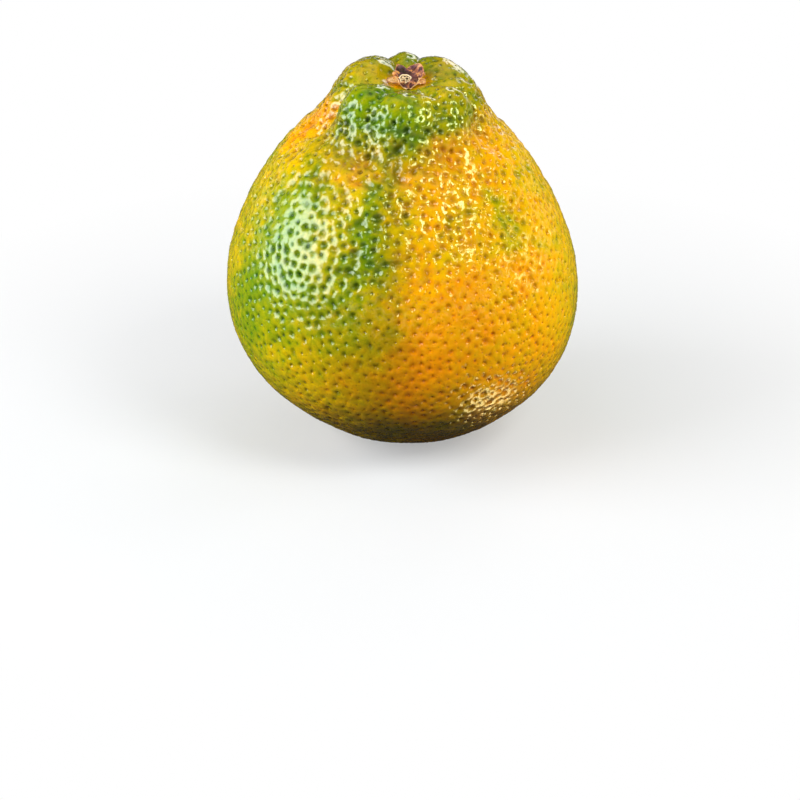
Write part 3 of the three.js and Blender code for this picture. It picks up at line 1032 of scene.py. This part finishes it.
def white_sweep():
    """Matt white paper that goes over into plain white away from the fruit, and gives little light back."""
    material, tree = new_material("white_sweep")
    place = add(tree, "TexCoord").outputs["Object"]
    distance = add(tree, "VectorMath", {0: place}, operation="LENGTH")
    near_edges = (distance, PAPER_TO * MM, WHITE_FROM * MM, 0.35, 1.0)
    whiteness = add(tree, "MapRange", dict(enumerate(near_edges)))
    far_edges = (distance, DIM_TO * MM, BRIGHT_FROM * MM, 0.0, 1.0)
    far = add(tree, "MapRange", dict(enumerate(far_edges)))
    seen = add(tree, "LightPath").outputs
    mirrored = {0: seen["Is Glossy Ray"], 1: seen["Is Transmission Ray"]}
    mirrored = add(tree, "Math", mirrored, operation="MAXIMUM")
    mirrored = add(tree, "Math", {0: mirrored, 1: far}, operation="MULTIPLY")
    plain = add(tree, "Emission", {"Color": (1, 1, 1, 1), "Strength": 1.0})
    paper = add(tree, "BsdfDiffuse", {"Color": colour("#dadce0")})
    looked_at = add(tree, "MixShader", {0: whiteness, 1: paper, 2: plain})
    dim = add(tree, "BsdfDiffuse", {"Color": colour("#4a4947")})
    reflected = add(tree, "MixShader", {0: mirrored, 1: dim, 2: plain})
    mixed = add(tree, "MixShader", {0: seen["Is Camera Ray"], 1: reflected, 2: looked_at})
    add(tree, "OutputMaterial", {"Surface": mixed})
    return material


def make_sweep():
    """The floor, with a low wall round its far edge."""
    turns = np.radians(np.arange(0, 360, 4))
    rim = np.column_stack([np.cos(turns), np.sin(turns), np.zeros(len(turns))]) * FLOOR_RADIUS
    count = len(turns)
    wall = [(i, (i + 1) % count, count + (i + 1) % count, count + i) for i in range(count)]
    points = np.vstack([rim, rim + (0, 0, WALL_HEIGHT)])
    floor = new_piece("floor", points, [list(range(count)), *wall], smooth=False)
    floor.data.materials.append(white_sweep())


make_sweep()

# Lamps: direction from the middle of the fruit, distance and width in mm, brightness, tint (daylight
# on the left, warmer on the right), whether the lamp lights matt surfaces, whether glossy ones mirror
# it, and the angle of the cone it shines in, in degrees. A gleam is the mirrored share of its softbox
# and stands 40 mm nearer, since two lamps in one place hide each other. The fills are too soft to be
# mirrored. The strip and the card at the foot only gleam in the wax, and the narrow cone of the card
# keeps it off the edge of the fruit seen from the side.
MIDDLE_OF_FRUIT = Vector((0, 0, 55))
LAMPS = {
    "left_softbox": ((-0.9, -0.28, 0.35), 700, 600, 7.8, (0.98, 1.0, 1.0), True, False, 180),
    "left_gleam": ((-0.9, -0.28, 0.35), 660, 550, 6.2, (0.88, 0.98, 0.98), False, True, 180),
    "right_softbox": ((0.52, -0.47, 0.67), 800, 350, 11.4, (1.0, 1.0, 0.96), True, False, 180),
    "right_gleam": ((0.5, -0.46, 0.7), 760, 280, 15.0, (0.84, 1.0, 0.5), False, True, 180),
    "side_fill": ((0.925, 0.3, 0.12), 900, 300, 18.0, (1.0, 1.0, 0.92), True, False, 180),
    "front_fill": ((0.75, -0.65, 0.1), 1400, 400, 8.0, (1.0, 1.0, 0.92), True, False, 180),
    "right_strip": ((0.98, 0.0, 0.16), 800, 170, 9.0, (0.88, 1.0, 0.5), False, True, 180),
    "overhead": ((-0.05, 0.25, 1.0), 900, 900, 0.3, (1.0, 1.0, 1.0), True, True, 180),
    "back_softbox": ((0.35, 0.85, 0.45), 900, 400, 3.0, (1.0, 1.0, 1.0), True, True, 180),
    "foot_card": ((0.47, -0.48, -0.742), 72.8, 26, 2.7, (1.0, 0.88, 0.38), False, True, 90),
}
for name, (direction, distance, width, brightness, tint, lights_matt, mirrored, cone) in LAMPS.items():
    light = bpy.data.lights.new(name, "AREA")
    light.shape = "SQUARE"
    light.size = width * MM
    light.color = tint
    light.spread = math.radians(cone)
    light.energy = brightness * math.pi * (width * MM) ** 2
    lamp = new_object(name, light)
    lamp.visible_camera = False
    lamp.visible_diffuse = lights_matt
    lamp.visible_glossy = mirrored
    lamp.location = (MIDDLE_OF_FRUIT + Vector(direction).normalized() * distance) * MM
    lamp.rotation_euler = (MIDDLE_OF_FRUIT * MM - lamp.location).to_track_quat("-Z", "Y").to_euler()

AIR_GLOW = 0.045  # the little light that comes from all round
world = bpy.data.worlds.new("studio")
bpy.context.scene.world = world
world.use_nodes = True
tree = world.node_tree
tree.nodes.clear()
sky = add(tree, "Background", {"Color": (1, 1, 1, 1), "Strength": AIR_GLOW})
add(tree, "OutputWorld", {"Surface": sky})
bpy.context.scene.view_settings.view_transform = "Standard"
